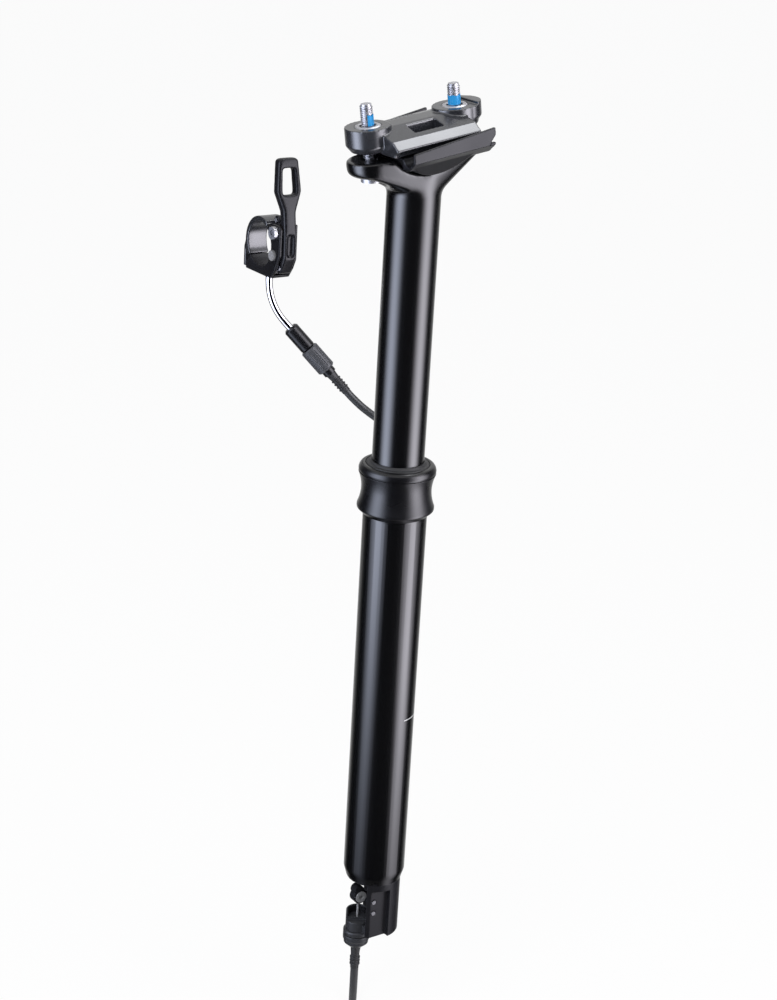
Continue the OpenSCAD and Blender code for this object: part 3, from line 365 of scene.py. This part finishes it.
LINE_Z, LINE_W, LINE_FROM, LINE_TO, LINE_STEPS = -101.3, 0.5, 44, 116, 24
LINE_R = LOWER_R + 0.015
bm = bmesh.new()
rows = []
for k in range(LINE_STEPS + 1):
    a = math.radians(VIEW_SIDE + LINE_FROM + (LINE_TO - LINE_FROM) * k / LINE_STEPS)
    rows.append([bm.verts.new((LINE_R * math.cos(a) * MM, LINE_R * math.sin(a) * MM, z * MM))
                 for z in (LINE_Z - LINE_W / 2, LINE_Z + LINE_W / 2)])
ribbon(bm, rows)
white_print = surface("white_print", (0.75, 0.75, 0.76), 0.5)
add("insertion_line", shaded(mesh_of(bm, "insertion_line"), white_print), "base", "black_gloss")

# ---------------------------------------------------------------- collar
# Satin-anodised aluminium, turned with a waist for the fingers and screwed on the tube; a separate top ring
# holds the rubber wiper that the upper tube slides through.
COLLAR_R, COLLAR_H, THREAD_R, MOUTH_R, SHOULDER_Z = 18.55, 24.2, 15.15, 13.1, 12.05
LIP_R, LIP_H, CONE_TOP = 15.55, 0.8, 6.2
WAIST_Z, WAIST_DEEP, WAIST_STEPS = 7.6, 1.7, 40
satin_black = surface("satin_anodised", (0.004, 0.004, 0.005), 0.29, specular=0.42, grain=2600, bump=0.04)
waist = []
for k in range(WAIST_STEPS + 1):
    t = 2 * k / WAIST_STEPS - 1
    waist.append((COLLAR_R - WAIST_DEEP * (1 - t * t), WAIST_Z + (COLLAR_H - WAIST_Z) * k / WAIST_STEPS))
collar = [(THREAD_R, COLLAR_BASE), (LIP_R, COLLAR_BASE), (LIP_R + LIP_H, COLLAR_BASE + LIP_H),
          (COLLAR_R, CONE_TOP), *waist, (MOUTH_R, COLLAR_H), (MOUTH_R, SHOULDER_Z), (THREAD_R, SHOULDER_Z)]
add("collar_part", shaded(turned(collar, rounds=0.5), satin_black), "base", "black_satin", "collar")

RING_H, RING_BORE, RING_GAP, SEAL_R, LEDGE, RING_ANGLE = 4.3, 13.4, 0.02, 15.42, 2, 50
ring_z, ring_top = COLLAR_H + RING_GAP, COLLAR_H + RING_H
crown = [(COLLAR_R - inset, ring_top - drop) for inset, drop in ((0, 2.6), (0.35, 1.4), (1.1, 0.4), (2, 0))]
ring = [(RING_BORE, ring_z), (COLLAR_R - 0.3, ring_z), (COLLAR_R, ring_z + 1.2), *crown,
        (SEAL_R, ring_top), (SEAL_R, ring_z + LEDGE), (RING_BORE, ring_z + LEDGE)]
ring_mesh = shaded(turned(ring, rounds=0.3), satin_black, RING_ANGLE)
add("collar_ring_part", ring_mesh, "base", "black_satin", "collar_ring")
plain("wiper_seal", "base", rubber, "rubber")

# ---------------------------------------------------------------- upper tube
# Polished black stanchion, drawn in one with a forged head whose two ears take the clamp bolts. The tube is
# exact where it runs through the wiper; the head has the soft edges of a forging.
UPPER_R, UPPER_BORE, UPPER_LOW, NECK_Z = 12.5, 10.5, -60, 159
JOIN_Z = NECK_Z - 5
JOIN_TOP = JOIN_Z + 0.5
upper = [(UPPER_BORE, UPPER_LOW), (UPPER_R, UPPER_LOW), (UPPER_R, JOIN_TOP), (UPPER_BORE, JOIN_TOP)]
upper_mesh = shaded(turned(upper, segments=128), gloss_black)
add("upper_tube_part", upper_mesh, "upper_post", "black_gloss", "upper_tube")

# The flare from tube to head is smoothed on its own, most at the neck, and set back to the tube's radius.
HEAD_CUT, FLARE_TOP, FLARE_FADE, ROUND_TOP, ROUND_FROM = JOIN_Z - 10, NECK_Z + 17, 10, NECK_Z + 8, 10.8
HEAD_GRID, HEAD_ROUNDS, FLARE_ROUNDS = 0.42, 14, 220
neck = workpiece(rounded(cut(merged("upper_tube"), HEAD_CUT, closed=True), HEAD_GRID, HEAD_ROUNDS))
flare = neck.vertex_groups.new(name="flare")
for v in neck.data.vertices:
    flare.add([v.index], min(max((FLARE_TOP - v.co.z / MM) / FLARE_FADE, 0), 1), "REPLACE")
smooth = neck.modifiers.new("flare", "SMOOTH")
smooth.factor, smooth.iterations, smooth.vertex_group = 0.5, FLARE_ROUNDS, "flare"
head = baked(neck)
for v in head.vertices:
    r = math.hypot(v.co.x, v.co.y) / MM
    if v.co.z < ROUND_TOP * MM and ROUND_FROM < r < UPPER_R:
        v.co.x, v.co.y = v.co.x * UPPER_R / r, v.co.y * UPPER_R / r
head = thinned(cut(head, JOIN_Z), 0.5)
add("head_part", shaded(head, gloss_black, SOFT_ANGLE), "upper_post", "black_gloss", "upper_tube")
dress(bronze, "lower_bushing", "anti_rotation_keys")

# ---------------------------------------------------------------- gas spring
# A sealed steel cylinder in the upper tube, closed by a cap and a plug, and the chromed rod that stands on
# the foot with the piston and its rubber ring on its top.
steel = surface("bright_steel", (0.62, 0.62, 0.64), 0.22, metallic=1.0, grain=2600, bump=0.03)
grey_metal = surface("grey_metal", (0.13, 0.132, 0.14), 0.4, metallic=0.7, grain=2600, bump=0.04)
chrome = surface("chrome_plate", (0.8, 0.8, 0.82), 0.08, spread=0.02, metallic=1.0, grain=1500, bump=0.008)
dress(steel, "gas_cylinder", "valve_pin")
dress(grey_metal, "cylinder_cap", "cylinder_plug", "piston")
dress(chrome, "piston_rod")
dress(rubber, "piston_ring")

# ---------------------------------------------------------------- saddle clamp
# Two forged halves hold the saddle rails: the cradle rocks in the head and the upper clamp is drawn down on
# it by two M6 screws, whose ends stand up through round nuts and carry a blue thread-lock coating.
CLAMP_AT, CLAMP_TILT, CLAMP_GRID = (-3.5, 0, NECK_Z + 32), math.radians(-9), 0.36
CLAMP = Matrix.Translation(Vector(CLAMP_AT) * MM) @ Matrix.Rotation(CLAMP_TILT, 4, "Y")
forged = surface("forged_dark", (0.022, 0.023, 0.028), 0.24, spread=0.04, specular=0.8, grain=2200, bump=0.03)
soft_black = surface("soft_anodised", (0.007, 0.007, 0.009), 0.33, specular=0.22, grain=2600, bump=0.05)
moulded("saddle_cradle", "cradle", soft_black, "grey_metal", CLAMP_GRID, rounds=5, share=0.5)
moulded("upper_clamp", "clamp_top", forged, "grey_metal", CLAMP_GRID, rounds=5, share=0.5)

BOLT_HALF, BOLT_TOP = 23.5, 12.0
NUT_R, NUT_HOLE, NUT_TOP, NUT_T, HOLE_BEVEL = 6.0, 3.7, 2.5, 3.0, 0.3
nut = [(NUT_HOLE, NUT_TOP - NUT_T), (NUT_R, NUT_TOP - NUT_T), (NUT_R, NUT_TOP - 0.5), (NUT_R - 0.6, NUT_TOP),
       (NUT_HOLE + HOLE_BEVEL, NUT_TOP), (NUT_HOLE, NUT_TOP - HOLE_BEVEL)]
nut_mesh = turned(nut, 64, 0.12)
bm = bmesh.new()
for s in (-1, 1):
    placed = nut_mesh.copy()
    placed.transform(CLAMP @ Matrix.Translation((s * BOLT_HALF * MM, 0, 0)))
    bm.from_mesh(placed)
zinc = surface("zinc_steel", (0.42, 0.42, 0.44), 0.42, metallic=1.0, grain=2600, bump=0.04)
nuts = shaded(mesh_of(bm, "clamp_nuts_part"), zinc)
add("clamp_nuts_part", nuts, "clamp_top", "steel", "clamp_nuts")
dress(zinc, "bolt_washers")

# The CAD's plain shank is the screw's core, and a spiral ridge made by a node tree is its thread.
THREAD_LEN, THREAD_PITCH, THREAD_END, RIDGE_R, RIDGE = 24, 1, 0.6, 2.63, 0.32
thread_z = BOLT_TOP - THREAD_END - THREAD_LEN
plain("clamp_bolts", "upper_post", zinc, "steel")
tree = bpy.data.node_groups.new("screw_thread", "GeometryNodeTree")
tree.interface.new_socket("Geometry", in_out="OUTPUT", socket_type="NodeSocketGeometry")
settings = []
for label, kind, value in (("Radius", "Float", RIDGE_R * MM), ("Height", "Float", THREAD_LEN * MM),
                           ("Turns", "Float", THREAD_LEN / THREAD_PITCH), ("Ridge", "Float", RIDGE * MM),
                           ("Material", "Material", zinc)):
    socket = tree.interface.new_socket(label, in_out="INPUT", socket_type="NodeSocket" + kind)
    settings.append((socket.identifier, value))
new = tree.nodes.new
given, result = new("NodeGroupInput"), new("NodeGroupOutput")
spiral, wire = new("GeometryNodeCurveSpiral"), new("GeometryNodeCurvePrimitiveCircle")
sweep, axes = new("GeometryNodeCurveToMesh"), new("GeometryNodeMeshLine")
copies, real = new("GeometryNodeInstanceOnPoints"), new("GeometryNodeRealizeInstances")
paint = new("GeometryNodeSetMaterial")
axes.mode = "END_POINTS"
set_sockets(spiral, Resolution=28)
set_sockets(wire, Resolution=5)
set_sockets(axes, Count=2, Start_Location=(-BOLT_HALF * MM, 0, thread_z * MM),
            Offset=(BOLT_HALF * MM, 0, thread_z * MM))
for source, output, target, entry in (
        (given, "Turns", spiral, "Rotations"), (given, "Radius", spiral, "Start Radius"),
        (given, "Radius", spiral, "End Radius"), (given, "Height", spiral, "Height"),
        (given, "Ridge", wire, "Radius"), (spiral, "Curve", sweep, "Curve"),
        (wire, "Curve", sweep, "Profile Curve"), (axes, "Mesh", copies, "Points"),
        (sweep, "Mesh", copies, "Instance"), (copies, "Instances", real, "Geometry"),
        (real, "Geometry", paint, "Geometry"), (given, "Material", paint, "Material"),
        (paint, "Geometry", result, "Geometry")):
    tree.links.new(source.outputs[output], target.inputs[entry])
work = workpiece(bpy.data.meshes.new("work"))
modifier = work.modifiers.new("thread", "NODES")
modifier.node_group = tree
for key, value in settings:
    modifier[key] = value
thread = baked(work)
thread.transform(CLAMP)
thread.shade_smooth()
add("bolt_threads", thread, "upper_post", "steel")

# Thread-lock fills the grooves of the lower turns that show: all round at the rear, on one side in front.
LOCK_IN, LOCK_OUT, LOCK_STEPS = 2.6, 2.96, 32
lock = surface("thread_lock", (0.012, 0.27, 0.62), 0.45, spread=0.05, grain=4000, bump=0.15, shade=0.2)
bm = bmesh.new()
for s, high, start, span in ((-1, 7.2, -118, 200), (1, 6.8, 0, 360)):
    rows = []
    for k in range(LOCK_STEPS + 1):
        a = math.radians(start + span * k / LOCK_STEPS)
        ragged = high + 0.25 * math.sin(5 * a + s) + 0.15 * math.sin(11 * a)
        points = [Vector((s * BOLT_HALF + r * math.cos(a), r * math.sin(a), z)) * MM for r, z in (
            (LOCK_IN, NUT_TOP), (LOCK_OUT, NUT_TOP), (LOCK_OUT, ragged), (LOCK_IN, ragged))]
        rows.append([bm.verts.new(CLAMP @ p) for p in points])
    ribbon(bm, rows)
bmesh.ops.recalc_face_normals(bm, faces=bm.faces)
add("thread_lock", shaded(mesh_of(bm, "thread_lock"), lock), "upper_post", "steel")

# ---------------------------------------------------------------- foot
# A satin black plug screwed in the tube's end, open to the front: the cable pulls the lever's anchor down and
# the lever's other arm lifts the valve pin. The cable stop is riveted to the one cheek, a ferrule below it.
# The first finish here is painted shade: near black, for the shell that darkens the inside of the cable stop's
# cup.
cup_shade_black = surface("painted_shade_black", (0.008, 0.008, 0.009), 0.5, specular=0.3, grain=3000, bump=0.06)
foot_black = surface("foot_anodised", (0.010, 0.010, 0.012), 0.34, specular=0.16, grain=2600, bump=0.04)
cup_grey = surface("cup_anodised", (0.026, 0.027, 0.031), 0.36, specular=0.35, grain=2600, bump=0.04)
dull_steel = surface("dull_steel", (0.16, 0.16, 0.165), 0.5, metallic=1.0, grain=2600, bump=0.05)
nickel = surface("dull_nickel", (0.3, 0.3, 0.31), 0.45, metallic=0.35, grain=2600, bump=0.04)
moulded("foot_body", "base", foot_black, "black_satin", 0.34, rounds=4)
plain("release_lever", "release", foot_black, "black_satin")
for name in ("cable_anchor", "anchor_screw", "inner_wire_lower"):
    plain(name, "anchor", nickel, "steel")
moulded("cable_stop", "base", cup_grey, "grey_metal", 0.2, rounds=3)
dress(zinc, "release_pivot_pin")
dress(dull_steel, "stop_rivets")
plain("ferrule_boot", "base", rubber, "rubber")

# The ferrule is turned with a groove under its flange; each step is an inset from it and a drop from the stop.
CABLE = Vector((-8.5, 0, 0)) * MM
STOP_LOW, FERRULE_LOW, FLANGE_R, WIRE_HOLE = -223.0, -233.6, 6.85, 1.05
FERRULE_STEPS = ((0.6, 0), (0, 0.6), (0, 2.4), (0.9, 2.5), (0.9, 2.9), (0, 3.0), (0, 5.6), (0.5, 6.1),
                 (0.5, 7.8), (3.5, STOP_LOW - FERRULE_LOW))
ferrule = [(WIRE_HOLE, STOP_LOW), *((FLANGE_R - inset, STOP_LOW - drop) for inset, drop in FERRULE_STEPS),
           (WIRE_HOLE, FERRULE_LOW)]
ferrule_mesh = turned(ferrule, 64, 0.25)
ferrule_mesh.transform(Matrix.Translation(CABLE))
add("ferrule_nut_part", shaded(ferrule_mesh, cup_grey), "base", "grey_metal", "ferrule_nut")

# A black shell inside the cup is painted shade: a dark sheet that stands in for the shade seen through the
# stop's windows.
SHELL_OUT, SHELL_IN, SHELL_LOW, SHELL_TOP = 4.84, 4.5, -216.3, -213.2
SHELL_SIDE, SHELL_SPAN, SHELL_STEPS = 55, 176, 32
bm = bmesh.new()
rows = []
for k in range(SHELL_STEPS + 1):
    a = math.radians(SHELL_SIDE - SHELL_SPAN / 2 + SHELL_SPAN * k / SHELL_STEPS)
    rows.append([bm.verts.new(CABLE + Vector((r * math.cos(a), r * math.sin(a), z)) * MM) for r, z in (
        (SHELL_OUT, SHELL_LOW), (SHELL_OUT, SHELL_TOP), (SHELL_IN, SHELL_TOP), (SHELL_IN, SHELL_LOW))])
ribbon(bm, rows, closed=True)
bm.faces.new(rows[0])
bm.faces.new(rows[-1])
bmesh.ops.recalc_face_normals(bm, faces=bm.faces)
add("cup_shade_shell", shaded(mesh_of(bm, "cup_shade_shell"), cup_shade_black), "base", "rubber")

# ---------------------------------------------------------------- remote
# The bar remote: a forged bracket and hinged strap round the bar, and a lever with a pierced paddle, all
# black with soft edges and the strap the shiniest; its pivot bolt, pins and screw are steel.
REMOTE_GRID = 0.3
moulded("remote_bracket", "base", soft_black, "black_satin", REMOTE_GRID, rounds=6)
moulded("bar_strap", "base", forged, "black_satin", REMOTE_GRID, rounds=6)
moulded("remote_lever", "bar_lever", soft_black, "black_satin", REMOTE_GRID, rounds=120)
plain("lever_pivot_bolt", "base", zinc, "steel")
plain("lever_stop_pin", "base", nickel, "steel")
dress(zinc, "strap_hinge_pin", "strap_screw", "cable_nipple")
dress(bronze, "lever_bush")

# ---------------------------------------------------------------- noodle and adjuster
# A chromed bent tube leads the wire out of the bracket. The barrel adjuster on its end has a black sleeve, a
# fluted grey knob that turns, and a ribbed boot on the housing.
plain("noodle", "base", chrome, "chrome")
plain("adjuster_sleeve", "base", satin_black, "black_satin")
knob_grey = surface("knob_anodised", (0.055, 0.057, 0.064), 0.42, spread=0.04, specular=0.4, grain=3000,
                    bump=0.02)
plain("adjuster_knob", "knob", knob_grey, "grey_metal")
plain("adjuster_collar", "base", satin_black, "black_satin")
plain("adjuster_boot", "base", rubber, "rubber")

# ---------------------------------------------------------------- studio
# White floor and surround, one broad soft light from the upper left and a weaker one from the right. A ring
# of cards that only reflections see gives the polished tubes the photograph's dark band and two soft strips.
# Lengths in this section are in metres.
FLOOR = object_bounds()[0].z - 0.002
FLOOR_HALF, FLOOR_SHADING = 6, 0.07


def white_share(tree, keep):
    """White to the camera, to mirrors and to glass; keep is the share of real shading that still shows."""
    new, link = tree.nodes.new, tree.links.new
    path, seen, more, share = new("ShaderNodeLightPath"), *(new("ShaderNodeMath") for _ in range(3))
    seen.operation = more.operation = "MAXIMUM"
    share.operation = "MULTIPLY"
    link(path.outputs["Is Camera Ray"], seen.inputs[0])
    link(path.outputs["Is Glossy Ray"], seen.inputs[1])
    link(seen.outputs[0], more.inputs[0])
    link(path.outputs["Is Transmission Ray"], more.inputs[1])
    share.inputs[1].default_value = 1 - keep
    link(more.outputs[0], share.inputs[0])
    return share.outputs[0]


def two_way(tree, output, dim, bright, keep):
    """The dim shader for light that falls on the object, the bright one for what is seen."""
    mix = tree.nodes.new("ShaderNodeMixShader")
    tree.links.new(white_share(tree, keep), mix.inputs["Fac"])
    tree.links.new(dim.outputs[0], mix.inputs[1])
    tree.links.new(bright.outputs[0], mix.inputs[2])
    tree.links.new(mix.outputs[0], tree.nodes.new(output).inputs["Surface"])


def empty_tree(owner):
    owner.use_nodes = True
    owner.node_tree.nodes.clear()
    return owner.node_tree


scene.world = bpy.data.worlds.new("studio")
tree = empty_tree(scene.world)
fill, white = tree.nodes.new("ShaderNodeBackground"), tree.nodes.new("ShaderNodeBackground")
set_sockets(fill, Color=(0.95, 0.97, 1, 1), Strength=0.5)
set_sockets(white, Color=(1, 1, 1, 1), Strength=1)
two_way(tree, "ShaderNodeOutputWorld", fill, white, 0)

floor_mat = bpy.data.materials.new("studio_floor")
tree = empty_tree(floor_mat)
matt, glow = tree.nodes.new("ShaderNodeBsdfDiffuse"), tree.nodes.new("ShaderNodeEmission")
set_sockets(matt, Color=(0.9, 0.9, 0.9, 1))
set_sockets(glow, Color=(1, 1, 1, 1), Strength=1)
two_way(tree, "ShaderNodeOutputMaterial", matt, glow, FLOOR_SHADING)


def stage_mesh(name, points, faces, material):
    mesh = bpy.data.meshes.new(name)
    mesh.from_pydata(points, [], faces)
    mesh.materials.append(material)
    obj = bpy.data.objects.new(name, mesh)
    scene.collection.objects.link(obj)
    return obj


corners = [(x * FLOOR_HALF, y * FLOOR_HALF, FLOOR) for x, y in ((-1, -1), (1, -1), (1, 1), (-1, 1))]
stage_mesh("floor", corners, [(0, 1, 2, 3)], floor_mat)

card_mat = bpy.data.materials.new("reflection_cards")
tree = empty_tree(card_mat)
glow, level = tree.nodes.new("ShaderNodeEmission"), tree.nodes.new("ShaderNodeVertexColor")
level.layer_name = "level"
tree.links.new(level.outputs["Color"], glow.inputs["Color"])
tree.links.new(glow.outputs[0], tree.nodes.new("ShaderNodeOutputMaterial").inputs["Surface"])

CARD_R, CARD_TOP, CARD_STEPS = 0.7, 0.55, 180
LEFT_SIDE, LEFT_GLOW = -58, (6.2, 6.7, 8.2)
RIGHT_SIDE, RIGHT_GLOW, RIGHT_FULL = 70, (8.4, 8.2, 9), 0.5
STRIP_HALF, BACK_GLOW, BACK_FROM, BACK_FADE = 36, 0.8, 120, 40
CARD_EDGES = [(r, FLOOR + 0.003) for r in (0.05, 0.12, 0.2, 0.3, 0.4, 0.5, 0.6, CARD_R)] + [(CARD_R, CARD_TOP)]


def strip(a, side):
    t = min(abs(a - side) / STRIP_HALF, 1)
    return (1 + math.cos(math.pi * t)) / 2


def card_level(a, r):
    """Brightness of the cards at an angle to the right of the camera and a distance from the post."""
    left_share = strip(a, LEFT_SIDE) * (r / CARD_R) ** 1.5
    right_share = strip(a, RIGHT_SIDE) * min(r / RIGHT_FULL, 1)
    behind = BACK_GLOW * min(max((abs(a) - BACK_FROM) / BACK_FADE, 0), 1)
    return (*(x * left_share + y * right_share + behind for x, y in zip(LEFT_GLOW, RIGHT_GLOW)), 1)


points, faces, levels = [], [], []
for k in range(CARD_STEPS + 1):
    a = 360 * k / CARD_STEPS - 180
    turn = math.radians(a + VIEW_SIDE)
    points += [(r * math.cos(turn), r * math.sin(turn), z) for r, z in CARD_EDGES]
    levels += [card_level(a, r) for r, _ in CARD_EDGES]
n = len(CARD_EDGES)
for k in range(CARD_STEPS):
    faces += [(n * k + i, n * k + i + 1, n * k + n + i + 1, n * k + n + i) for i in range(n - 1)]

# One round card over the head shines in the slope along the upper clamp's near edge.
HEAD_AT, CARD_FAR, ROUND_R, ROUND_STEPS = Vector((-0.0035, 0, 0.19)), 0.45, 0.15, 32
over = Vector((0.392, -0.108, 0.915)).normalized()
across = over.cross(Vector((0, 0, 1))).normalized()
along = across.cross(over)
middle = HEAD_AT + CARD_FAR * over
first = len(points)
points.append(tuple(middle))
levels.append((11, 11.2, 11.6, 1))
for k in range(ROUND_STEPS):
    a = math.radians(360 / ROUND_STEPS * k)
    points.append(tuple(middle + ROUND_R * (math.cos(a) * across + math.sin(a) * along)))
    levels.append((3, 3, 3.2, 1))
    faces.append((first, first + 1 + k, first + 1 + (k + 1) % ROUND_STEPS))
cards = stage_mesh("reflection_cards", points, faces, card_mat)
attribute = cards.data.color_attributes.new("level", "FLOAT_COLOR", "POINT")
attribute.data.foreach_set("color", [v for c in levels for v in c])
cards.visible_camera = cards.visible_diffuse = cards.visible_shadow = cards.visible_transmission = False

LIT = Vector((0, 0, 0.02))
for name, place, energy, size, colour in (
        ("key_light", (-0.9, -0.5, 0.9), 12, 0.9, (0.97, 0.98, 1)),
        ("side_light", (0.5, -0.9, 0.7), 6, 0.8, (1, 0.98, 0.99))):
    lamp = bpy.data.lights.new(name, "AREA")
    lamp.energy, lamp.size, lamp.color = energy, size, colour
    obj = bpy.data.objects.new(name, lamp)
    scene.collection.objects.link(obj)
    obj.location = place
    obj.rotation_euler = (LIT - Vector(place)).to_track_quat("-Z", "Y").to_euler()
    obj.visible_glossy = False
